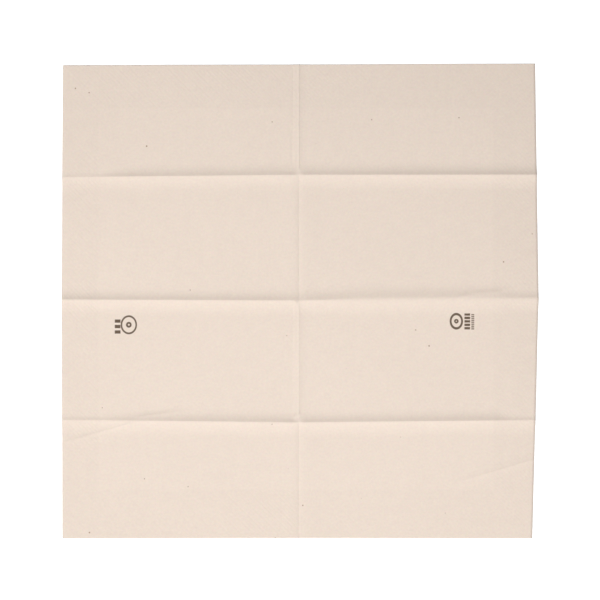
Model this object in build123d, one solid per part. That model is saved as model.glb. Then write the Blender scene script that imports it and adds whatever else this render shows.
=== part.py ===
from build123d import *

import os
from dataclasses import dataclass

# A paper napkin, opened out and lying on a table.
#
# It is one sheet of soft tissue. It was stored folded to an eighth: both end panels folded
# in towards the middle, then the sheet folded at its middle, and last of all folded once
# across. Opened out with its outer face up, the three folds from side to side stand up as
# low ridges. The cross fold was made through four layers, so it turns over from panel to
# panel: it is a ridge in two of them and a groove in the other two.
#
# Millimetres. +X is to the right, +Y goes from the near edge to the far edge, +Z is up.
# The origin lies on the table, under the middle of the sheet.

# ---- the sheet ----
TISSUE_THICKNESS = 0.3      # the embossed plies together, measured upright

# From the cross fold to each side edge, at the middle fold, where the sheet is widest
LEFT_HALF = 199.4
RIGHT_HALF = 201.4

# Lengths of the four panels as they lie, measured along the cross fold
NEAR_PANEL = 98.0
NEAR_MIDDLE_PANEL = 102.4
FAR_MIDDLE_PANEL = 105.6
FAR_PANEL = 93.2

# The cut is a little out of square: how far each corner lies inside the widest point
NEAR_LEFT_INSET = 0.6
NEAR_RIGHT_INSET = 5.2
FAR_LEFT_INSET = 1.0
FAR_RIGHT_INSET = 2.8

# How much further out than its middle the far edge ends, left and right
FAR_LEFT_REACH = -0.5
FAR_RIGHT_REACH = 0.8

# ---- the three folds from side to side ----
RIDGE_RISE = 1.8            # height of a ridge's crest above the flat panels
RIDGE_RUN = 11.0            # from the crest to where the sheet lies flat again
RIDGE_DIP = 0.6             # how much lower the crest is where the cross fold meets it

# How far each fold's left and right end lie beyond its middle, along +Y
NEAR_FOLD_DRIFT = (2.1, 2.0)
MIDDLE_FOLD_DRIFT = (0.8, 1.9)
FAR_FOLD_DRIFT = (-1.9, 0.1)

# ---- the cross fold ----
CROSS_RISE = 0.7            # its height in the panels where it is a ridge
CROSS_RUN = 8.0             # from the fold to the shoulder beside it
RIDGE_SHOULDER = 0.12       # height of that shoulder beside a ridge
GROOVE_SHOULDER = 0.35      # and beside a groove, whose bottom touches the table
SETTLED_RUN = 20.0          # from the fold to where the panels lie flat

# The sheet is made this much too large, then cut to its outline
TRIM_ALLOWANCE = 5.0

# Heights that differ by less than this are one level
LEVEL_TOLERANCE = 1e-6

panel_lengths = (NEAR_PANEL, NEAR_MIDDLE_PANEL, FAR_MIDDLE_PANEL, FAR_PANEL)
left_edge = -(LEFT_HALF + RIGHT_HALF) / 2
right_edge = left_edge + LEFT_HALF + RIGHT_HALF
cross_fold = left_edge + LEFT_HALF
near_edge = -(sum(panel_lengths) + max(FAR_LEFT_REACH, FAR_RIGHT_REACH, 0.0)) / 2
far_edge = near_edge + sum(panel_lengths)


@dataclass(frozen=True)
class SideFold:
    """A fold from side to side. It bends slightly where it meets the cross fold."""

    place: float
    drift: tuple

    def y_at(self, x):
        """The fold's place along Y at a place x from side to side."""
        left_drift, right_drift = self.drift
        if x < cross_fold:
            return self.place + left_drift * (cross_fold - x) / LEFT_HALF
        return self.place + right_drift * (x - cross_fold) / RIGHT_HALF


@dataclass(frozen=True)
class Station:
    """The height of the sheet's underside along one line from near edge to far edge."""

    x: float
    panel_heights: tuple
    crest_height: float


near_fold = SideFold(near_edge + NEAR_PANEL, NEAR_FOLD_DRIFT)
middle_fold = SideFold(near_fold.place + NEAR_MIDDLE_PANEL, MIDDLE_FOLD_DRIFT)
far_fold = SideFold(middle_fold.place + FAR_MIDDLE_PANEL, FAR_FOLD_DRIFT)
side_folds = (near_fold, middle_fold, far_fold)


def stations():
    """Lines of known height, from left to right. Between two, the sheet is ruled straight."""
    flat = (0.0, 0.0, 0.0, 0.0)
    shoulder = (GROOVE_SHOULDER, RIDGE_SHOULDER, GROOVE_SHOULDER, RIDGE_SHOULDER)
    fold = (0.0, CROSS_RISE, 0.0, CROSS_RISE)
    return [
        Station(left_edge - TRIM_ALLOWANCE, flat, RIDGE_RISE),
        Station(cross_fold - SETTLED_RUN, flat, RIDGE_RISE),
        Station(cross_fold - CROSS_RUN, shoulder, RIDGE_RISE),
        Station(cross_fold, fold, RIDGE_RISE - RIDGE_DIP),
        Station(cross_fold + CROSS_RUN, shoulder, RIDGE_RISE),
        Station(cross_fold + SETTLED_RUN, flat, RIDGE_RISE),
        Station(right_edge + TRIM_ALLOWANCE, flat, RIDGE_RISE),
    ]


def profile(station, lift):
    """One face of the sheet along a station: level lines joined by ridges.

    Each flank of a ridge is an arc that leaves its panel level and meets the other flank
    in a sharp crest.
    """
    edges = []
    start = Vector(station.x, near_edge - TRIM_ALLOWANCE, station.panel_heights[0] + lift)
    heights = zip(side_folds, station.panel_heights, station.panel_heights[1:])
    for fold, near_height, far_height in heights:
        crest_y = fold.y_at(station.x)
        foot = Vector(station.x, crest_y - RIDGE_RUN, near_height + lift)
        crest = Vector(station.x, crest_y, station.crest_height + lift)
        far_foot = Vector(station.x, crest_y + RIDGE_RUN, far_height + lift)
        edges.append(Edge.make_line(start, foot))
        edges.append(Edge.make_tangent_arc(foot, Vector(0, 1, 0), crest))
        edges.append(Edge.make_tangent_arc(far_foot, Vector(0, -1, 0), crest))
        start = far_foot
    end = Vector(station.x, far_edge + TRIM_ALLOWANCE, station.panel_heights[-1] + lift)
    edges.append(Edge.make_line(start, end))
    return edges


def patch(edge, next_edge):
    """The piece of a face between two stations: a true plane where it is level, else ruled."""
    corners = [edge @ 0, edge @ 1, next_edge @ 1, next_edge @ 0]
    lowest = min(corner.Z for corner in corners)
    highest = max(corner.Z for corner in corners)
    if highest - lowest < LEVEL_TOLERANCE:
        return Face(Wire.make_polygon(corners))
    return Face.make_surface_from_curves(edge, next_edge)


def strip(edges, next_edges):
    """All the patches between two rows of edges that match one to one."""
    return [patch(edge, next_edge) for edge, next_edge in zip(edges, next_edges)]


def end_line(profiles, last):
    """Straight edges that join the first or the last points of the profiles."""
    points = [edges[-1] @ 1 if last else edges[0] @ 0 for edges in profiles]
    return [Edge.make_line(point, next_point) for point, next_point in zip(points, points[1:])]


def folded_sheet():
    """The folded sheet before it is cut to its outline: a closed skin of patches."""
    underside = [profile(station, 0.0) for station in stations()]
    upper_face = [profile(station, TISSUE_THICKNESS) for station in stations()]
    skin = []
    for face in (underside, upper_face):
        for edges, next_edges in zip(face, face[1:]):
            skin += strip(edges, next_edges)
    skin += strip(underside[0], upper_face[0])
    skin += strip(underside[-1], upper_face[-1])
    for last in (False, True):
        skin += strip(end_line(underside, last), end_line(upper_face, last))
    return Solid(Shell(skin))


def outline():
    """The cut outline, seen from above. The sides are widest at the middle fold."""
    corners = [
        (left_edge + NEAR_LEFT_INSET, near_edge),
        (right_edge - NEAR_RIGHT_INSET, near_edge),
        (right_edge, middle_fold.y_at(right_edge)),
        (right_edge - FAR_RIGHT_INSET, far_edge + FAR_RIGHT_REACH),
        (cross_fold, far_edge),
        (left_edge + FAR_LEFT_INSET, far_edge + FAR_LEFT_REACH),
        (left_edge, middle_fold.y_at(left_edge)),
    ]
    return make_face(Polyline(*corners, close=True))


def napkin_sheet():
    """The whole napkin: the folded sheet, cut to its outline."""
    cutter_height = RIDGE_RISE + CROSS_RISE + 2 * TRIM_ALLOWANCE
    cutter = Pos(0, 0, -TRIM_ALLOWANCE) * extrude(outline(), cutter_height)
    sheet = (folded_sheet() & cutter).solid()
    sheet.label = "napkin_sheet"
    return sheet


os.makedirs("parts", exist_ok=True)
export_step(napkin_sheet(), "parts/napkin_sheet.step")
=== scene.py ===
"""The looks of a paper napkin that lies opened out on a table.

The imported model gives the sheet's box. Here the sheet becomes a fine closed mesh with its
folds, wrinkles and slight waves, and it gets its finish: unbleached two-ply tissue with an
embossed border, mottled fibres, flecks and two small printed marks.

Lengths are in millimetres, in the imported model's frame: +X to the right, +Y from the near
edge to the far edge, +Z up. MM turns them into Blender's metres.
"""

import logging
import math
from dataclasses import dataclass
from enum import Enum

import bpy
import numpy as np
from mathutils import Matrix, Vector


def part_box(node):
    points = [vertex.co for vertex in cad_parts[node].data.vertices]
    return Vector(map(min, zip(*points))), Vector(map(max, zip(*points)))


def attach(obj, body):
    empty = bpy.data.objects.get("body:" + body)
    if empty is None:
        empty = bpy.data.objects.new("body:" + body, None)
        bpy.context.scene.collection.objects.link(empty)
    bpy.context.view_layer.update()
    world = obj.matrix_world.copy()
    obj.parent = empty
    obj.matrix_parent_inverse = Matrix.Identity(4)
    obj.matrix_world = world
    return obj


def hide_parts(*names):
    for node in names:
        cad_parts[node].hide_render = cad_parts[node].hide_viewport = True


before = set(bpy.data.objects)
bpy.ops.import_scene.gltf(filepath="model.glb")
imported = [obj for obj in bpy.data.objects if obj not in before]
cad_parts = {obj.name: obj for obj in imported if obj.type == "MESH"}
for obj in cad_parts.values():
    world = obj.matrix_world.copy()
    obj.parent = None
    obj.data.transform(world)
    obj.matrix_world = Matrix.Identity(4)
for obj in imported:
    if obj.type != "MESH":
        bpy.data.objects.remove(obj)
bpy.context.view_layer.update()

MM = 0.001
NODE = "napkin_sheet"
LOG = logging.getLogger("napkin")

Array = np.ndarray
Point = tuple[float, float]
Feed = float | tuple[float, ...] | bpy.types.NodeSocket


def linear(red: int, green: int, blue: int) -> tuple[float, float, float, float]:
    """The linear colour of a display colour whose channels run from 0 to 255.

    Formula: each channel c, as a share of 255, becomes ((c + 0.055) / 1.055) to the 2.4.

    Args:
        red: the display colour's red.
        green: its green.
        blue: its blue.

    Returns:
        The linear red, green and blue, and an alpha of 1.
    """
    shares = (channel / 255 for channel in (red, green, blue))
    return (*(((share + 0.055) / 1.055) ** 2.4 for share in shares), 1.0)


def eased(share: Array) -> Array:
    """A soft step from 0 to 1: 3 s squared less 2 s cubed, with s held between 0 and 1."""
    held = np.clip(share, 0.0, 1.0)
    return held * held * (3.0 - 2.0 * held)


def flank(distance: Array, run: Array | float, power: float = 2.0) -> Array:
    """Height share of a fold's flank: (1 - distance / run) to a power, and 0 past the run."""
    return np.clip(1.0 - distance / run, 0.0, 1.0) ** power


# ---------------------------------------------------------------- the sheet


class Turn(Enum):
    """Which way the cross fold bends in a panel, seen from above. The value is its sign."""

    GROOVE = -1.0
    RIDGE = 1.0


@dataclass(frozen=True)
class RidgeSection:
    """A ridge's section at one place from side to side.

    reach is that place: -1 at the left edge, 0 at the cross fold, 1 at the right edge. stand
    is the share of the rise that the panel beyond the ridge keeps, and loses slowly.
    """

    reach: float
    rise: float
    stand: float
    far_run: float
    near_run: float = 13.0
    rounding: float = 0.25


@dataclass(frozen=True)
class SideFold:
    """A fold from side to side, which stands up as a low ridge."""

    place: float
    drift: Point
    bow: Point
    sections: tuple[RidgeSection, ...]
    far_power: float = 3.0
    settled: float = 80.0

    def crest(self, reach: Array) -> Array:
        """The crest's place along Y.

        Formula: place plus, on each side of the cross fold, drift times the distance from it
        and bow times the sine of half a turn over that distance.

        Args:
            reach: places from side to side.

        Returns:
            The crest's place at each reach.
        """
        left_drift, right_drift = self.drift
        left_bow, right_bow = self.bow
        out = np.abs(reach)
        drift = np.where(reach < 0, left_drift, right_drift)
        bow = np.where(reach < 0, left_bow, right_bow)
        return self.place + drift * out + bow * np.sin(np.pi * out)

    def section_value(self, name: str, reach: Array) -> Array:
        """One size of the ridge, worked out between its sections.

        Args:
            name: the size's name in RidgeSection.
            reach: places from side to side.

        Returns:
            The size at each reach.
        """
        reaches = [section.reach for section in self.sections]
        sizes = [getattr(section, name) for section in self.sections]
        return np.interp(reach, reaches, sizes)

    def height(self, reach: Array, y: Array) -> Array:
        """The ridge's height.

        Formula: rise times a share of the rounded distance from the crest, which is the root
        of distance squared plus rounding squared, less rounding. Towards the near edge the
        share is a flank's. Beyond the crest it is a steeper flank's mixed with a soft step
        down over the settled distance, by stand.

        Args:
            reach: places from side to side.
            y: places along Y.

        Returns:
            Height above the flat sheet at each place.
        """
        beyond = y - self.crest(reach)
        rounding = self.section_value("rounding", reach)
        distance = np.hypot(beyond, rounding) - rounding
        near_share = flank(distance, self.section_value("near_run", reach))
        steep_share = flank(distance, self.section_value("far_run", reach), self.far_power)
        stand = self.section_value("stand", reach)
        far_share = (1.0 - stand) * steep_share + stand * eased(1.0 - distance / self.settled)
        return self.section_value("rise", reach) * np.where(beyond > 0, far_share, near_share)


@dataclass(frozen=True)
class Crease:
    """A straight wrinkle from start to end. left and right are seen looking along it."""

    start: Point
    end: Point
    rise: float
    left_run: float
    right_run: float
    start_fade: float = 1.0
    end_fade: float = 1.0

    def height(self, x: Array, y: Array) -> Array:
        """The wrinkle's height.

        Formula: rise times the flank share of the distance across, times a soft step in
        from the start and out to the end.

        Args:
            x: places along X.
            y: places along Y.

        Returns:
            Height above the sheet at each place, below it where rise is negative.
        """
        away_x, away_y = x - self.start[0], y - self.start[1]
        run_x, run_y = self.end[0] - self.start[0], self.end[1] - self.start[1]
        length = math.hypot(run_x, run_y)
        along = (away_x * run_x + away_y * run_y) / length
        across = (away_y * run_x - away_x * run_y) / length
        side = flank(np.abs(across), np.where(across > 0, self.left_run, self.right_run))
        fade = eased(along / self.start_fade) * eased((length - along) / self.end_fade)
        return self.rise * side * fade


@dataclass(frozen=True)
class Wave:
    """One gentle wave of the paper: its length, the way it runs, its height and its phase."""

    length: float
    heading: float
    height: float
    phase: float

    def lift(self, x: Array, y: Array) -> Array:
        """The wave's height.

        Formula: height times half of (1 plus the sine of the place along the heading).

        Args:
            x: places along X.
            y: places along Y.

        Returns:
            Height at each place, 0 or more.
        """
        turn = math.radians(self.heading)
        place = x * math.cos(turn) + y * math.sin(turn)
        return self.height * (1.0 + np.sin(2.0 * np.pi * place / self.length + self.phase)) / 2.0


FAR_RIDGE = (
    RidgeSection(-1.0, 1.5, 0.8, 5.0),
    RidgeSection(-0.84, 1.5, 0.75, 5.0),
    RidgeSection(-0.72, 1.7, 0.1, 11.0),
    RidgeSection(-0.1, 1.65, 0.0, 13.0),
    RidgeSection(0.1, 1.8, 0.0, 13.0),
    RidgeSection(0.4, 2.0, 0.0, 13.0),
    RidgeSection(1.0, 2.1, 0.0, 13.0),
)
MIDDLE_RIDGE = (
    RidgeSection(-1.0, 1.8, 0.1, 11.0),
    RidgeSection(-0.1, 1.7, 0.0, 12.5),
    RidgeSection(0.1, 1.6, 0.0, 12.5, 13.0, 0.6),
    RidgeSection(0.25, 1.6, 0.0, 14.0, 13.0, 2.4),
    RidgeSection(0.82, 1.6, 0.1, 13.0, 13.0, 2.4),
    RidgeSection(0.9, 1.4, 0.3, 9.0, 12.0, 1.4),
    RidgeSection(1.0, 1.4, 0.3, 8.0, 12.0, 1.4),
)
NEAR_RIDGE = (
    RidgeSection(-1.0, 1.4, 0.6, 5.0),
    RidgeSection(-0.84, 1.4, 0.55, 6.0),
    RidgeSection(-0.65, 1.7, 0.05, 12.0),
    RidgeSection(0.82, 1.75, 0.0, 12.5),
    RidgeSection(0.9, 1.5, 0.5, 6.0),
    RidgeSection(1.0, 1.4, 0.6, 5.5),
)

WRINKLES = (
    # the long facet of the lower left corner, and its run past the near fold
    Crease((-199.0, -119.0), (-136.0, -101.0), 0.35, 7.0, 12.0, 8.0, 10.0),
    Crease((-140.0, -97.6), (-84.0, -90.6), 0.3, 5.0, 9.0, 8.0, 30.0),
    # the long wrinkle of the lower right corner
    Crease((119.0, -156.4), (198.0, -132.6), 0.3, 7.0, 8.0, 30.0, 2.0),
    # the pucker beyond the middle fold, near the right edge
    Crease((131.0, 2.6), (144.0, 6.6), 0.35, 4.0, 5.0, 6.0, 4.0),
    Crease((142.0, 6.4), (172.0, 8.4), 0.35, 4.0, 6.0, 5.0, 5.0),
    Crease((170.0, 8.0), (179.0, 12.6), 0.3, 4.0, 5.0, 4.0, 5.0),
    # crumples where the cross fold meets the middle and the near fold
    Crease((1.4, 1.4), (9.4, 10.7), 0.3, 3.0, 2.5, 3.0, 5.0),
    Crease((-2.2, 0.6), (-5.4, -4.4), 0.3, 2.5, 3.0, 2.0, 3.0),
    Crease((-7.0, -98.8), (1.2, -93.2), 0.35, 3.0, 4.0, 3.0, 3.0),
    # short ripples where the right edge was pinched
    Crease((184.0, 30.0), (199.0, 41.0), 0.25, 4.0, 5.0, 8.0, 1.0),
    Crease((186.0, -40.0), (199.0, -33.0), 0.2, 4.0, 5.0, 8.0, 1.0),
)

WAVES = (
    Wave(171.0, 24.0, 0.22, 0.4),
    Wave(118.0, 102.0, 0.16, 2.1),
    Wave(77.0, 61.0, 0.1, 4.0),
    Wave(53.0, 143.0, 0.06, 1.2),
    Wave(39.0, 12.0, 0.04, 5.1),
)


@dataclass(frozen=True)
class NapkinSheet:
    """The opened sheet: its outline, its folds, how high it lies, and its mesh.

    left, right, near and far are the sides of its box. Every other size is as it was cut and
    folded: the panels run from the near edge, and the insets say how far the corners lie
    inside the sheet's widest place, which is at the middle fold.
    """

    left: float
    right: float
    near: float
    far: float
    thickness: float = 0.3
    left_half: float = 199.4
    near_panel: float = 98.0
    near_middle_panel: float = 102.4
    far_middle_panel: float = 105.6
    near_insets: Point = (0.6, 5.2)
    far_insets: Point = (1.0, 2.8)
    far_drops: tuple[float, float, float] = (1.8, 1.2, 0.4)
    near_rises: tuple[float, float, float] = (0.3, 0.6, 0.3)
    cross_rise: float = 0.7
    cross_run: float = 8.0
    groove_lift: float = 0.45
    settled_run: float = 22.0
    crossing_dip: float = 0.45
    crossing_run: float = 7.0
    turns: tuple[Turn, ...] = (Turn.GROOVE, Turn.RIDGE, Turn.GROOVE, Turn.RIDGE)
    turn_run: float = 4.0
    panel_rows: int = 72
    left_columns: int = 144
    right_columns: int = 148
    row_crowding: float = 0.65
    column_crowding: float = 0.6
    under_step: int = 4

    @property
    def cross_fold(self) -> float:
        """The cross fold's place along X."""
        return self.left + self.left_half

    def folds(self) -> tuple[SideFold, SideFold, SideFold]:
        """The side folds.

        Returns:
            The near, middle and far fold.
        """
        near_place = self.near + self.near_panel
        middle_place = near_place + self.near_middle_panel
        far_place = middle_place + self.far_middle_panel
        return (
            SideFold(near_place, (2.1, 2.0), (0.0, 0.0), NEAR_RIDGE),
            SideFold(middle_place, (0.8, 1.9), (0.0, 0.8), MIDDLE_RIDGE),
            SideFold(far_place, (-1.9, 0.1), (0.0, 0.0), FAR_RIDGE),
        )

    def reaches(self) -> Array:
        """The columns' reaches.

        Formula: on each side of the cross fold, reach is (1 - c) t + c t squared for t from
        0 to 1, with c the crowding, so that the columns crowd at the cross fold.

        Returns:
            One reach for each column, from -1 to 1.
        """
        spread = self.column_crowding
        left = np.linspace(1.0, 0.0, self.left_columns + 1)[:-1]
        right = np.linspace(0.0, 1.0, self.right_columns + 1)
        return np.concatenate(
            [-((1 - spread) * left + spread * left**2), (1 - spread) * right + spread * right**2]
        )

    def rows(self, reach: Array) -> Array:
        """Places along Y of every row.

        Formula: in each panel the share s from its near line to its far line becomes
        s - c sin(2 pi s) / (2 pi), with c the crowding, so that rows crowd at the folds.

        Args:
            reach: the columns' reaches.

        Returns:
            The places, one line of the result to each row.
        """
        near_line = self.near + np.interp(reach, (-1.0, 0.0, 1.0), self.near_rises)
        far_line = self.far - np.interp(reach, (-1.0, 0.0, 1.0), self.far_drops)
        lines = [near_line, *(fold.crest(reach) for fold in self.folds()), far_line]
        share = np.linspace(0.0, 1.0, self.panel_rows + 1)[:-1, None]
        eased_share = share - self.row_crowding * np.sin(2 * np.pi * share) / (2 * np.pi)
        panels = [low + (high - low) * eased_share for low, high in zip(lines, lines[1:])]
        return np.concatenate([*panels, lines[-1][None, :]])

    def columns(self, reach: Array, y: Array) -> Array:
        """Places along X of every column.

        Formula: reach times the half width, which is the widest less an inset that grows in
        proportion to the distance from the widest line.

        Args:
            reach: the columns' reaches.
            y: places along Y.

        Returns:
            The places, in the shape of y.
        """
        widest = self.near + self.near_panel + self.near_middle_panel
        nearness = np.clip((widest - y) / (widest - self.near), 0.0, 1.0)
        farness = np.clip((y - widest) / (self.far - widest), 0.0, 1.0)
        left_inset = self.near_insets[0] * nearness + self.far_insets[0] * farness
        right_inset = self.near_insets[1] * nearness + self.far_insets[1] * farness
        left_half = self.cross_fold - self.left - left_inset
        right_half = self.right - right_inset - self.cross_fold
        return self.cross_fold + reach * np.where(reach < 0, left_half, right_half)

    def turn_at(self, reach: Array, y: Array) -> Array:
        """The cross fold's sign, which changes over turn_run on each side of a side fold.

        Args:
            reach: the columns' reaches.
            y: places along Y.

        Returns:
            -1 where it is a groove, 1 where it is a ridge, and between them where it turns.
        """
        sign = np.full_like(y, self.turns[0].value)
        for fold, before, after in zip(self.folds(), self.turns, self.turns[1:]):
            beyond = (y - fold.crest(reach)) / (2 * self.turn_run) + 0.5
            sign = sign + (after.value - before.value) * eased(beyond)
        return sign

    def height(self, reach: Array, x: Array, y: Array) -> Array:
        """How high the sheet's underside lies above the table.

        Formula: the side ridges, each dipped where the cross fold meets it, plus the cross
        fold as a ridge, or as a groove between two raised shoulders, plus wrinkles and waves.

        Args:
            reach: places from side to side.
            x: places along X.
            y: places along Y.

        Returns:
            Height at each place, 0 or more.
        """
        from_cross = np.abs(x - self.cross_fold)
        ridges = sum(fold.height(reach, y) for fold in self.folds())
        ridges = ridges * (1.0 - self.crossing_dip * flank(from_cross, self.crossing_run))
        sign = self.turn_at(reach, y)
        ridge_share, groove_share = (1.0 + sign) / 2.0, (1.0 - sign) / 2.0
        fold_line = flank(from_cross, self.cross_run)
        shoulder = eased(1.0 - from_cross / self.settled_run)
        cross = ridge_share * self.cross_rise * fold_line
        cross = cross + groove_share * self.groove_lift * (shoulder - fold_line)
        wrinkles = sum(wrinkle.height(x, y) for wrinkle in WRINKLES)
        waves = sum(wave.lift(x, y) for wave in WAVES)
        return np.maximum(ridges + cross + wrinkles + waves, 0.0)

    def faces(self, row_count: int, column_count: int) -> list[list[int]]:
        """Faces of the closed sheet.

        The upper side is a grid of row_count by column_count points. The underside has every
        under_step-th of them again, and each rim face joins one of its edges to the
        under_step upper edges above it.

        Args:
            row_count: points along Y.
            column_count: points along X.

        Returns:
            Each face's points, in order round it.
        """
        step = self.under_step
        upper = np.arange(row_count * column_count).reshape(row_count, column_count)
        under_rows, under_columns = (row_count - 1) // step + 1, (column_count - 1) // step + 1
        under = np.arange(under_rows * under_columns).reshape(under_rows, under_columns)
        under = under + upper.size
        tops = np.stack([upper[:-1, :-1], upper[:-1, 1:], upper[1:, 1:], upper[1:, :-1]], -1)
        bottoms = np.stack([under[:-1, :-1], under[1:, :-1], under[1:, 1:], under[:-1, 1:]], -1)
        upper_loop, under_loop = rim_loop(upper), rim_loop(under)
        below = np.stack([under_loop, np.roll(under_loop, -1)], -1)
        starts = np.arange(0, upper_loop.size, step)[:, None]
        above = upper_loop[(starts + np.arange(step, -1, -1)) % upper_loop.size]
        rim = np.concatenate([below, above], axis=1)
        return [*tops.reshape(-1, 4).tolist(), *bottoms.reshape(-1, 4).tolist(), *rim.tolist()]

    def build(self) -> bpy.types.Object:
        """The sheet as a closed mesh that stands for the CAD sheet.

        Returns:
            The object, at the origin, with its place in its mesh.
        """
        reach = self.reaches()
        y = self.rows(reach)
        x = self.columns(reach, y)
        lift = self.height(np.broadcast_to(reach, y.shape), x, y)
        under = (slice(None, None, self.under_step),) * 2
        places = [np.stack([x, y, lift + self.thickness], -1).reshape(-1, 3)]
        places.append(np.stack([x[under], y[under], lift[under]], -1).reshape(-1, 3))
        mesh = bpy.data.meshes.new(NODE)
        faces = self.faces(*y.shape)
        mesh.from_pydata((np.concatenate(places) * MM).tolist(), [], faces)
        quad = 4
        smooth = np.array([len(face) == quad for face in faces])
        mesh.polygons.foreach_set("use_smooth", smooth)
        mesh.update()
        sheet = bpy.data.objects.new("napkin_paper", mesh)
        bpy.context.scene.collection.objects.link(sheet)
        return sheet


def rim_loop(grid: Array) -> Array:
    """The indices round a grid's rim, once round to the left as seen from above."""
    return np.concatenate([grid[0, :-1], grid[:-1, -1], grid[-1, :0:-1], grid[:0:-1, 0]])


# ---------------------------------------------------------------- nodes


class Wiring:
    """A node tree that is wired up with short calls."""

    def __init__(self, tree: bpy.types.NodeTree) -> None:
        """Works on one tree."""
        self.tree = tree

    def feed(self, socket: bpy.types.NodeSocket, value: Feed) -> None:
        """Links a socket into another, or sets its own value."""
        if isinstance(value, bpy.types.NodeSocket):
            self.tree.links.new(value, socket)
        else:
            socket.default_value = value

    def node(
        self, kind: str, inputs: dict[str | int, Feed] | None = None, **settings: object
    ) -> bpy.types.Node:
        """A new node.

        Args:
            kind: the node's type.
            inputs: what to feed to each of its sockets.
            settings: the node's own properties.

        Returns:
            The node.
        """
        made = self.tree.nodes.new(kind)
        for name, value in settings.items():
            setattr(made, name, value)
        for key, value in (inputs or {}).items():
            self.feed(made.inputs[key], value)
        return made

    def math(self, operation: str, *values: Feed) -> bpy.types.NodeSocket:
        """The result of a Math node."""
        return self.node("ShaderNodeMath", dict(enumerate(values)), operation=operation).outputs[0]

    def vector(self, operation: str, *values: Feed) -> bpy.types.NodeSocket:
        """The vector result of a Vector Math node."""
        made = self.node("ShaderNodeVectorMath", dict(enumerate(values)), operation=operation)
        return made.outputs["Vector"]

    def scaled(self, value: Feed, factor: Feed) -> bpy.types.NodeSocket:
        """A vector or colour times a number."""
        made = self.node("ShaderNodeVectorMath", {0: value, "Scale": factor}, operation="SCALE")
        return made.outputs["Vector"]

    def dot(self, first: Feed, second: Feed) -> bpy.types.NodeSocket:
        """The dot product of two vectors."""
        inputs = {0: first, 1: second}
        made = self.node("ShaderNodeVectorMath", inputs, operation="DOT_PRODUCT")
        return made.outputs["Value"]

    def axes(self, place: Feed) -> tuple[bpy.types.NodeSocket, bpy.types.NodeSocket]:
        """The X and Y of a vector."""
        parts = self.node("ShaderNodeSeparateXYZ", {0: place}).outputs
        return parts["X"], parts["Y"]

    def step(self, value: Feed, low: Feed, high: Feed) -> bpy.types.NodeSocket:
        """A soft step.

        Args:
            value: what is tested.
            low: the value at which the step is 0.
            high: the value at which it is 1.

        Returns:
            The step's number.
        """
        inputs = {"Value": value, "From Min": low, "From Max": high}
        made = self.node("ShaderNodeMapRange", inputs, interpolation_type="SMOOTHSTEP")
        return made.outputs["Result"]

    def mixed(self, share: Feed, first: Feed, second: Feed) -> bpy.types.NodeSocket:
        """Two colours mixed.

        Args:
            share: the second colour's share.
            first: the colour at a share of 0.
            second: the colour at a share of 1.

        Returns:
            The mixed colour.
        """
        made = self.node("ShaderNodeMix", data_type="RGBA")
        self.feed(made.inputs["Factor"], share)
        colors = [socket for socket in made.inputs if socket.type == "RGBA"]
        for socket, value in zip(colors, (first, second)):
            self.feed(socket, value)
        return next(socket for socket in made.outputs if socket.type == "RGBA")

    def noise(self, place: Feed, size: float, detail: float = 2.0) -> bpy.types.Node:
        """A noise whose features are about size millimetres across."""
        inputs = {"Vector": place, "Scale": 1.0 / size, "Detail": detail}
        return self.node("ShaderNodeTexNoise", inputs)

    def group(self, tree: bpy.types.NodeTree, inputs: dict[str, Feed]) -> bpy.types.Node:
        """A node group placed in this tree.

        Args:
            tree: the group.
            inputs: what to feed to each of its sockets.

        Returns:
            The group's node.
        """
        made = self.node("ShaderNodeGroup", node_tree=tree)
        for name, value in inputs.items():
            self.feed(made.inputs[name], value)
        return made


class GroupMaker(Wiring):
    """A new shader node group with named inputs and outputs."""

    def __init__(self, name: str, inputs: dict[str, str], outputs: dict[str, str]) -> None:
        """Makes the group's sockets.

        Args:
            name: the group's name.
            inputs: each input's name and kind, such as Float.
            outputs: each output's name and kind.
        """
        tree = bpy.data.node_groups.new(name, "ShaderNodeTree")
        for way, sockets in (("INPUT", inputs), ("OUTPUT", outputs)):
            for socket, kind in sockets.items():
                tree.interface.new_socket(socket, in_out=way, socket_type=f"NodeSocket{kind}")
        super().__init__(tree)
        self.given = self.node("NodeGroupInput").outputs
        self.result = self.node("NodeGroupOutput").inputs

    def put_out(self, **values: Feed) -> bpy.types.NodeTree:
        """Feeds the outputs, whose names are written with capitals, and returns the group."""
        for name, value in values.items():
            self.feed(self.result[name.replace("_", " ").title()], value)
        return self.tree


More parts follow.
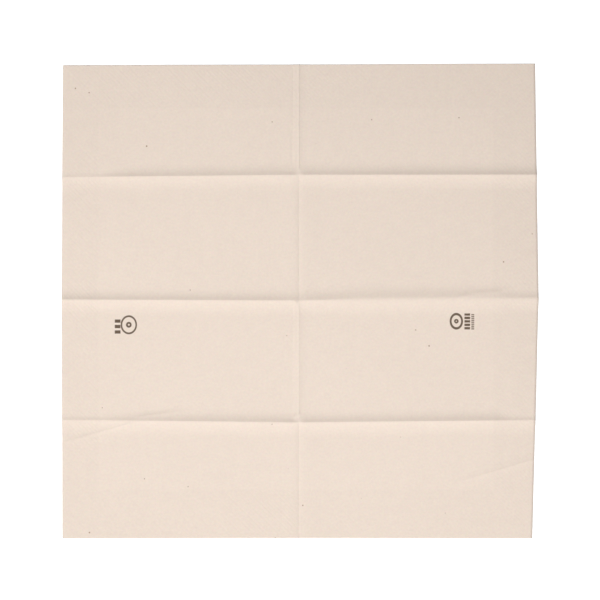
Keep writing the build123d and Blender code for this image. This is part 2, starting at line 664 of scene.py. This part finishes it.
def crease_group() -> bpy.types.NodeTree:
    """A hairline crease. Place, Start and End are points; Left Run and Right Run are widths.

    Formula: Height is Rise times (1 - distance across / run) squared, faded in from the
    start over Start Fade and out to the end over End Fade.

    Returns:
        The group.
    """
    floats = ("Rise", "Left Run", "Right Run", "Start Fade", "End Fade")
    points = {"Place": "Vector", "Start": "Vector", "End": "Vector"}
    maker = GroupMaker("Hair crease", points | dict.fromkeys(floats, "Float"), {"Height": "Float"})
    given = maker.given
    run = maker.vector("SUBTRACT", given["End"], given["Start"])
    heading = maker.vector("NORMALIZE", run)
    away = maker.vector("SUBTRACT", given["Place"], given["Start"])
    along = maker.dot(away, heading)
    left_way = maker.vector("CROSS_PRODUCT", (0.0, 0.0, 1.0), heading)
    across = maker.dot(away, left_way)
    left = maker.math("GREATER_THAN", across, 0.0)
    spread = maker.math("SUBTRACT", given["Left Run"], given["Right Run"])
    width = maker.math("MULTIPLY_ADD", left, spread, given["Right Run"])
    share = maker.math("DIVIDE", maker.math("ABSOLUTE", across), width)
    open_share = maker.math("MAXIMUM", maker.math("SUBTRACT", 1.0, share), 0.0)
    side = maker.math("POWER", open_share, 2.0)
    fade_in = maker.step(along, 0.0, given["Start Fade"])
    left_over = maker.math("SUBTRACT", maker.dot(run, heading), along)
    fade_out = maker.step(left_over, 0.0, given["End Fade"])
    fade = maker.math("MULTIPLY", fade_in, fade_out)
    height = maker.math("MULTIPLY", maker.math("MULTIPLY", side, fade), given["Rise"])
    return maker.put_out(height=height)


def rib_group() -> bpy.types.NodeTree:
    """Two sets of straight pressed ribs that cross the place's diagonals, each of two pitches.

    Formula: the sum over both pitches of the cosine of 2 pi times the place along a
    diagonal divided by the pitch. Rising is the set that climbs away from the centre.

    Returns:
        The group.
    """
    sockets = {"Place": "Vector", "Fine Pitch": "Float", "Coarse Pitch": "Float"}
    maker = GroupMaker("Pressed ribs", sockets, {"Rising": "Float", "Falling": "Float"})
    given = maker.given
    x, y = maker.axes(given["Place"])
    sums = []
    for operation in ("SUBTRACT", "ADD"):
        diagonal = maker.math("MULTIPLY", maker.math(operation, x, y), math.sqrt(0.5))
        waves = []
        for pitch in ("Fine Pitch", "Coarse Pitch"):
            turns = maker.math("DIVIDE", diagonal, given[pitch])
            waves.append(maker.math("COSINE", maker.math("MULTIPLY", turns, 2.0 * math.pi)))
        sums.append(maker.math("ADD", *waves))
    return maker.put_out(rising=sums[0], falling=sums[1])


def fleck_group() -> bpy.types.NodeTree:
    """Scattered flecks: a cell of size Spacing holds a fleck in a Share of the cells.

    Formula: a fleck is Size across times a number from 0.5 to 1.5 that its cell picks, and
    Mask steps softly from 1 at 0.4 of that to 0 at the whole of it.

    Returns:
        The group.
    """
    smallest, solid_share = 0.5, 0.4
    floats = dict.fromkeys(("Spacing", "Size", "Share"), "Float")
    maker = GroupMaker("Flecks", {"Place": "Vector"} | floats, {"Mask": "Float"})
    given = maker.given
    scale = maker.math("DIVIDE", 1.0, given["Spacing"])
    cells = maker.node("ShaderNodeTexVoronoi", {"Vector": given["Place"], "Scale": scale})
    reach = maker.math("MULTIPLY", cells.outputs["Distance"], given["Spacing"])
    picked = maker.node("ShaderNodeSeparateColor", {0: cells.outputs["Color"]}).outputs
    size = maker.math("MULTIPLY", given["Size"], maker.math("ADD", picked[1], smallest))
    spot = maker.step(reach, size, maker.math("MULTIPLY", size, solid_share))
    chosen = maker.math("LESS_THAN", picked[0], given["Share"])
    return maker.put_out(mask=maker.math("MULTIPLY", spot, chosen))


def ring_group() -> bpy.types.NodeTree:
    """A printed oval ring. Mask is 1 within half of Stroke from the oval, with a soft edge.

    Formula: the distance is Half Width times the gap between 1 and the root of the sum of
    the squares of X / Half Width and Y / Half Height.

    Returns:
        The group.
    """
    floats = ("Half Width", "Half Height", "Stroke", "Softness")
    sockets = {"Place": "Vector", "Centre": "Vector"} | dict.fromkeys(floats, "Float")
    maker = GroupMaker("Printed ring", sockets, {"Mask": "Float"})
    given = maker.given
    x, y = maker.axes(maker.vector("SUBTRACT", given["Place"], given["Centre"]))
    across = maker.math("DIVIDE", x, given["Half Width"])
    up = maker.math("DIVIDE", y, given["Half Height"])
    squares = [maker.math("POWER", share, 2.0) for share in (across, up)]
    radius = maker.math("SQRT", maker.math("ADD", *squares))
    gap = maker.math("ABSOLUTE", maker.math("SUBTRACT", radius, 1.0))
    distance = maker.math("MULTIPLY", gap, given["Half Width"])
    edge = maker.math("MULTIPLY", given["Stroke"], 0.5)
    outside = maker.math("ADD", edge, given["Softness"])
    inside = maker.math("SUBTRACT", edge, given["Softness"])
    return maker.put_out(mask=maker.step(distance, outside, inside))


def bars_group() -> bpy.types.NodeTree:
    """A printed column of equal bars, one above another.

    Half Width and Half Height are of the whole column, Pitch is from bar to bar, and Bar is
    the share of the pitch that is printed.

    Returns:
        The group.
    """
    floats = ("Half Width", "Half Height", "Pitch", "Bar", "Softness")
    sockets = {"Place": "Vector", "Centre": "Vector"} | dict.fromkeys(floats, "Float")
    maker = GroupMaker("Printed bars", sockets, {"Mask": "Float"})
    given = maker.given
    x, y = maker.axes(maker.vector("SUBTRACT", given["Place"], given["Centre"]))
    masks = []
    for place, half in ((x, "Half Width"), (y, "Half Height")):
        distance = maker.math("ABSOLUTE", place)
        outside = maker.math("ADD", given[half], given["Softness"])
        inside = maker.math("SUBTRACT", given[half], given["Softness"])
        masks.append(maker.step(distance, outside, inside))
    above_foot = maker.math("ADD", y, given["Half Height"])
    fraction = maker.math("FRACT", maker.math("DIVIDE", above_foot, given["Pitch"]))
    half_bar = maker.math("MULTIPLY", given["Bar"], 0.5)
    from_middle = maker.math("ABSOLUTE", maker.math("SUBTRACT", fraction, half_bar))
    soft = maker.math("DIVIDE", given["Softness"], given["Pitch"])
    outside = maker.math("ADD", half_bar, soft)
    bar = maker.step(from_middle, outside, maker.math("SUBTRACT", half_bar, soft))
    column = maker.math("MULTIPLY", masks[0], masks[1])
    return maker.put_out(mask=maker.math("MULTIPLY", column, bar))


# ---------------------------------------------------------------- the finish


HAIR_CREASES = (
    # the cross fold's own line in the far, far middle, near middle and near panel
    Crease((-1.0, 109.0), (-1.0, 199.0), 0.24, 1.8, 1.8, 3.0, 0.5),
    Crease((-1.0, 4.0), (-1.0, 96.0), -0.24, 1.8, 2.2, 3.0, 3.0),
    Crease((-1.0, -98.0), (-1.0, -2.0), 0.16, 1.8, 1.8, 3.0, 3.0),
    Crease((-1.0, -199.0), (-1.0, -105.0), -0.14, 1.8, 2.2, 0.5, 3.0),
    # a second line beside it, which the inner layers left
    Crease((-6.4, 114.0), (-6.0, 199.0), -0.16, 2.4, 1.6, 8.0, 0.5),
    Crease((-6.6, -80.0), (-6.0, -4.0), -0.08, 2.4, 1.6, 20.0, 3.0),
    Crease((-199.0, -118.6), (-139.0, -101.6), 0.1, 1.3, 3.0, 3.0, 6.0),
    Crease((-140.0, -97.6), (-84.0, -90.6), 0.08, 1.6, 4.0, 4.0, 40.0),
    Crease((119.0, -156.4), (198.0, -132.6), 0.12, 1.3, 2.5, 45.0, 1.0),
)


@dataclass(frozen=True)
class EmbossedBorder:
    """The pressed border: how far it reaches in from each edge, and its ribs."""

    left_width: float = 30.9
    right_width: float = 38.2
    near_width: float = 41.1
    far_width: float = 38.1
    softness: float = 1.5
    fine_pitch: float = 2.48
    coarse_pitch: float = 3.7
    strong_depth: float = 0.012
    weak_depth: float = 0.006

    def inner_lines(self, sheet: NapkinSheet) -> tuple[float, float, float, float]:
        """The left, right, near and far line of the plain field inside the border."""
        return (
            sheet.left + self.left_width,
            sheet.right - self.right_width,
            sheet.near + self.near_width,
            sheet.far - self.far_width,
        )

    def mask(self, wiring: Wiring, place: Feed, sheet: NapkinSheet) -> bpy.types.NodeSocket:
        """The border's mask.

        Args:
            wiring: the tree to work in.
            place: the place in millimetres.
            sheet: the sheet that has the border.

        Returns:
            1 in the border and 0 in the plain field.
        """
        x, y = wiring.axes(place)
        left, right, near, far = self.inner_lines(sheet)
        soft = self.softness
        parts = (
            wiring.step(x, left + soft, left - soft),
            wiring.step(x, right - soft, right + soft),
            wiring.step(y, near + soft, near - soft),
            wiring.step(y, far - soft, far + soft),
        )
        at_sides = wiring.math("MAXIMUM", *parts[:2])
        at_ends = wiring.math("MAXIMUM", *parts[2:])
        return wiring.math("MAXIMUM", at_sides, at_ends)

    def height(self, wiring: Wiring, place: Feed, sheet: NapkinSheet) -> bpy.types.NodeSocket:
        """The height of the ribs, which are mirrored about the cross fold.

        Args:
            wiring: the tree to work in.
            place: the place in millimetres.
            sheet: the sheet that has the border.

        Returns:
            The height in millimetres.
        """
        x, y = wiring.axes(place)
        aside = wiring.math("ABSOLUTE", wiring.math("SUBTRACT", x, sheet.cross_fold))
        mirrored = wiring.node("ShaderNodeCombineXYZ", {"X": aside, "Y": y}).outputs[0]
        pitches = {"Fine Pitch": self.fine_pitch, "Coarse Pitch": self.coarse_pitch}
        ribs = wiring.group(rib_group(), {"Place": mirrored} | pitches).outputs
        strong = wiring.math("MULTIPLY", ribs["Rising"], self.strong_depth)
        return wiring.math("MULTIPLY_ADD", ribs["Falling"], self.weak_depth, strong)


@dataclass(frozen=True)
class PrintedRing:
    """A printed oval: its centre, its half width and height, and its stroke."""

    centre: Point
    half_width: float
    half_height: float
    stroke: float

    def inputs(self) -> dict[str, Feed]:
        """What the ring group is fed."""
        sizes = {"Half Width": self.half_width, "Half Height": self.half_height}
        return sizes | {"Centre": (*self.centre, 0.0), "Stroke": self.stroke}


@dataclass(frozen=True)
class PrintedColumn:
    """A printed column of bars. bar is the share of the pitch that is printed."""

    centre: Point
    half_width: float
    half_height: float
    pitch: float
    bar: float

    def inputs(self) -> dict[str, Feed]:
        """What the bars group is fed."""
        sizes = {"Half Width": self.half_width, "Half Height": self.half_height}
        return sizes | {"Centre": (*self.centre, 0.0), "Pitch": self.pitch, "Bar": self.bar}


@dataclass(frozen=True)
class PrintedMarks:
    """Two small plain marks in brown ink beside the middle fold: a ring with a dot and bars."""

    ink: tuple[int, int, int] = (112, 96, 82)
    softness: float = 0.25
    rings: tuple[PrintedRing, ...] = (
        PrintedRing((-144.0, -20.0), 6.2, 7.2, 1.3),
        PrintedRing((-144.0, -20.0), 1.6, 1.6, 1.6),
        PrintedRing((131.4, -17.0), 4.8, 6.0, 1.6),
        PrintedRing((131.4, -17.0), 1.2, 1.2, 1.4),
    )
    columns: tuple[PrintedColumn, ...] = (
        PrintedColumn((-153.4, -21.5), 2.4, 6.0, 4.6, 0.62),
        PrintedColumn((140.6, -17.2), 2.4, 6.8, 2.9, 0.72),
        PrintedColumn((145.2, -17.2), 1.2, 6.8, 1.7, 0.6),
    )

    def mask(self, wiring: Wiring, place: Feed) -> bpy.types.NodeSocket:
        """The marks' mask.

        Args:
            wiring: the tree to work in.
            place: the place in millimetres.

        Returns:
            1 where the ink is.
        """
        soft = {"Place": place, "Softness": self.softness}
        masks = []
        for group, prints in ((ring_group(), self.rings), (bars_group(), self.columns)):
            for printed in prints:
                masks.append(wiring.group(group, soft | printed.inputs()).outputs["Mask"])
        whole = masks[0]
        for mask in masks[1:]:
            whole = wiring.math("MAXIMUM", whole, mask)
        return whole


@dataclass(frozen=True)
class TissueFinish:
    """Unbleached two-ply tissue: its colour, mottle, flecks, ribs, hair creases and marks.

    The sizes are of what a noise shows, in millimetres. mottle is how far the fine noise
    takes the lightness, and the broad noise takes it half as far. tint is the same for hue.
    """

    paper: tuple[int, int, int] = (239, 223, 209)
    # painted shade: how far the embossed border's colour is darkened, for the shade in its ribs
    painted_border_shade: float = 0.985
    mottle: float = 0.10
    fine_size: float = 2.2
    fine_detail: float = 3.0
    broad_size: float = 9.0
    tint: float = 0.07
    tint_size: float = 1.9
    fibre_height: float = 0.03
    fibre_size: float = 1.6
    fleck_color: tuple[int, int, int] = (176, 150, 128)
    fleck_spacing: float = 12.0
    fleck_size: float = 0.7
    fleck_share: float = 0.3
    smoothest: float = 0.88
    roughness_spread: float = 0.1
    roughness_size: float = 3.0
    specular: float = 0.15
    border: EmbossedBorder = EmbossedBorder()
    marks: PrintedMarks = PrintedMarks()

    def shade(self, wiring: Wiring, place: Feed, border: Feed) -> bpy.types.NodeSocket:
        """The paper's lightness.

        Formula: the product of 1 plus each noise, centred, times its mottle, and of the
        border's painted shade where the border is: a darkening that stands in for the
        shade in the pressed ribs.

        Args:
            wiring: the tree to work in.
            place: the place in millimetres.
            border: the border's mask.

        Returns:
            A factor for the paper's colour.
        """
        fine = wiring.noise(place, self.fine_size, self.fine_detail).outputs["Fac"]
        broad = wiring.noise(place, self.broad_size).outputs["Fac"]
        half = self.mottle / 2
        fine_shade = wiring.math("MULTIPLY_ADD", fine, self.mottle, 1.0 - half)
        broad_shade = wiring.math("MULTIPLY_ADD", broad, half, 1.0 - half / 2)
        mottled = wiring.math("MULTIPLY", fine_shade, broad_shade)
        # painted shade: the border's colour is made darker, standing in for shade in its pressed
        # ribs
        painted_border_shade = wiring.math("MULTIPLY_ADD", border, self.painted_border_shade - 1.0, 1.0)
        return wiring.math("MULTIPLY", mottled, painted_border_shade)

    def color(self, wiring: Wiring, place: Feed, border: Feed) -> bpy.types.NodeSocket:
        """The paper's colour with its mottle, flecks and marks.

        Args:
            wiring: the tree to work in.
            place: the place in millimetres.
            border: the border's mask.

        Returns:
            The colour.
        """
        # the paper's colour times its mottle and the border's painted shade
        shaded = wiring.scaled(linear(*self.paper)[:3], self.shade(wiring, place, border))
        tints = wiring.noise(place, self.tint_size).outputs["Color"]
        centred = wiring.vector("SUBTRACT", tints, (0.5,) * 3)
        tinted = wiring.vector("MULTIPLY_ADD", centred, (self.tint,) * 3, shaded)
        sizes = {"Spacing": self.fleck_spacing, "Size": self.fleck_size, "Share": self.fleck_share}
        flecks = wiring.group(fleck_group(), {"Place": place} | sizes).outputs["Mask"]
        flecked = wiring.mixed(flecks, tinted, linear(*self.fleck_color))
        return wiring.mixed(self.marks.mask(wiring, place), flecked, linear(*self.marks.ink))

    def relief(
        self, wiring: Wiring, place: Feed, border: Feed, sheet: NapkinSheet
    ) -> bpy.types.NodeSocket:
        """The fine relief: fibres everywhere, ribs in the border, and the hair creases.

        Args:
            wiring: the tree to work in.
            place: the place in millimetres.
            border: the border's mask.
            sheet: the sheet that has the border.

        Returns:
            The height in millimetres.
        """
        fibres = wiring.noise(place, self.fibre_size).outputs["Fac"]
        height = wiring.math("MULTIPLY", fibres, self.fibre_height)
        ribs = wiring.math("MULTIPLY", self.border.height(wiring, place, sheet), border)
        height = wiring.math("ADD", height, ribs)
        crease = crease_group()
        for hair in HAIR_CREASES:
            inputs = {
                "Place": place,
                "Start": (*hair.start, 0.0),
                "End": (*hair.end, 0.0),
                "Rise": hair.rise,
                "Left Run": hair.left_run,
                "Right Run": hair.right_run,
                "Start Fade": hair.start_fade,
                "End Fade": hair.end_fade,
            }
            height = wiring.math("ADD", height, wiring.group(crease, inputs).outputs["Height"])
        return height

    def material(self, sheet: NapkinSheet) -> bpy.types.Material:
        """The tissue's material.

        Args:
            sheet: the sheet that is dressed.

        Returns:
            The material.
        """
        made = bpy.data.materials.new("unbleached_tissue")
        made.use_nodes = True
        made.node_tree.nodes.clear()
        wiring = Wiring(made.node_tree)
        metres = wiring.node("ShaderNodeTexCoord").outputs["Object"]
        place = wiring.vector("MULTIPLY", metres, (1.0 / MM, 1.0 / MM, 0.0))
        border = self.border.mask(wiring, place, sheet)
        relief = self.relief(wiring, place, border, sheet)
        bump = wiring.node("ShaderNodeBump", {"Height": relief, "Distance": MM, "Strength": 1.0})
        surface = wiring.node("ShaderNodeBsdfPrincipled")
        wiring.feed(surface.inputs["Base Color"], self.color(wiring, place, border))
        wiring.feed(surface.inputs["Normal"], bump.outputs["Normal"])
        uneven = wiring.noise(place, self.roughness_size).outputs["Fac"]
        roughness = wiring.math("MULTIPLY_ADD", uneven, self.roughness_spread, self.smoothest)
        wiring.feed(surface.inputs["Roughness"], roughness)
        surface.inputs["Specular IOR Level"].default_value = self.specular
        output = wiring.node("ShaderNodeOutputMaterial")
        wiring.feed(output.inputs["Surface"], surface.outputs["BSDF"])
        return made


# ---------------------------------------------------------------- the studio


@dataclass(frozen=True)
class Studio:
    """A white table, a soft lamp beyond the near edge, even light all round, and a camera."""

    table_half: float = 3000.0
    table_gap: float = 0.05
    table_color: float = 0.8
    table_glow: float = 0.6
    ambient: float = 0.45
    lamp_place: tuple[float, float, float] = (-700.0, -1600.0, 1750.0)
    lamp_aim: tuple[float, float, float] = (-50.0, -50.0, 0.0)
    lamp_width: float = 1600.0
    lamp_height: float = 500.0
    lamp_spread: float = 36.0
    lamp_power: float = 3.35
    lens: float = 107.0
    sensor: float = 36.0
    frame_width: float = 504.7
    frame_middle: Point = (-0.08, 0.84)

    def whitened(self, wiring: Wiring, plain: Feed, white: Feed) -> bpy.types.NodeSocket:
        """A shader that is white to the camera and in reflections, and plain to other rays.

        Args:
            wiring: the tree to work in.
            plain: the shader that lights the object.
            white: the shader that is seen.

        Returns:
            The mixed shader.
        """
        path = wiring.node("ShaderNodeLightPath").outputs
        seen = wiring.math("MAXIMUM", path["Is Camera Ray"], path["Is Glossy Ray"])
        seen = wiring.math("MAXIMUM", seen, path["Is Transmission Ray"])
        mix = wiring.node("ShaderNodeMixShader", {0: seen, 1: plain, 2: white})
        return mix.outputs[0]

    def table(self) -> bpy.types.Object:
        """The table top: diffuse, with a glow for the camera that keeps the napkin's shadow.

        Returns:
            The table top.
        """
        half, level = self.table_half * MM, -self.table_gap * MM
        signs = ((-1, -1), (1, -1), (1, 1), (-1, 1))
        corners = [(half * across, half * along, level) for across, along in signs]
        mesh = bpy.data.meshes.new("table_top")
        mesh.from_pydata(corners, [], [(0, 1, 2, 3)])
        top = bpy.data.objects.new("table_top", mesh)
        bpy.context.scene.collection.objects.link(top)
        material = bpy.data.materials.new("white_table")
        material.use_nodes = True
        material.node_tree.nodes.clear()
        wiring = Wiring(material.node_tree)
        plain = wiring.node("ShaderNodeBsdfDiffuse", {"Color": (*(self.table_color,) * 3, 1.0)})
        glow = wiring.node("ShaderNodeEmission", {"Strength": self.table_glow})
        both = wiring.node("ShaderNodeAddShader", {0: plain.outputs[0], 1: glow.outputs[0]})
        output = wiring.node("ShaderNodeOutputMaterial")
        shader = self.whitened(wiring, plain.outputs[0], both.outputs[0])
        wiring.feed(output.inputs["Surface"], shader)
        mesh.materials.append(material)
        return top

    def world(self) -> None:
        """Even light from all round, and white where the camera looks past the table."""
        world = bpy.data.worlds.new("white_room")
        world.use_nodes = True
        world.node_tree.nodes.clear()
        wiring = Wiring(world.node_tree)
        plain = wiring.node("ShaderNodeBackground", {"Strength": self.ambient})
        white = wiring.node("ShaderNodeBackground", {"Strength": 1.0})
        for background in (plain, white):
            background.inputs["Color"].default_value = (1.0, 1.0, 1.0, 1.0)
        output = wiring.node("ShaderNodeOutputWorld")
        shader = self.whitened(wiring, plain.outputs[0], white.outputs[0])
        wiring.feed(output.inputs["Surface"], shader)
        bpy.context.scene.world = world

    def lamp(self) -> bpy.types.Object:
        """A wide soft lamp beyond the near edge, with a grid that keeps its light on the napkin.

        Returns:
            The lamp.
        """
        light = bpy.data.lights.new("soft_lamp", "AREA")
        light.shape = "RECTANGLE"
        light.size = self.lamp_width * MM
        light.size_y = self.lamp_height * MM
        light.spread = math.radians(self.lamp_spread)
        light.energy = self.lamp_power
        lamp = bpy.data.objects.new("soft_lamp", light)
        lamp.location = [place * MM for place in self.lamp_place]
        aim = Vector([place * MM for place in self.lamp_aim])
        lamp.rotation_euler = (lamp.location - aim).to_track_quat("Z", "Y").to_euler()
        bpy.context.scene.collection.objects.link(lamp)
        return lamp

    def camera(self) -> bpy.types.Object:
        """A camera that looks straight down, as high as its lens needs for the frame's width.

        Returns:
            The camera.
        """
        data = bpy.data.cameras.new("camera")
        data.lens = self.lens
        data.sensor_width = self.sensor
        camera = bpy.data.objects.new("camera", data)
        height = self.frame_width * self.lens / self.sensor
        camera.location = [place * MM for place in (*self.frame_middle, height)]
        bpy.context.scene.collection.objects.link(camera)
        bpy.context.scene.camera = camera
        return camera


def main() -> None:
    """Builds the napkin and the studio round it."""
    logging.basicConfig(level=logging.INFO, format="%(name)s: %(message)s")
    scene = bpy.context.scene
    scene.view_settings.view_transform = "Standard"
    low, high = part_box(NODE)
    sheet = NapkinSheet(low.x / MM, high.x / MM, low.y / MM, high.y / MM)
    paper = sheet.build()
    paper.data.materials.append(TissueFinish().material(sheet))
    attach(paper, "root")
    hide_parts(NODE)
    LOG.info("%s: %d faces", paper.name, len(paper.data.polygons))
    studio = Studio()
    for piece in (studio.table(), studio.lamp(), studio.camera()):
        LOG.info("%s placed", piece.name)
    studio.world()


if __name__ == "__main__":
    main()
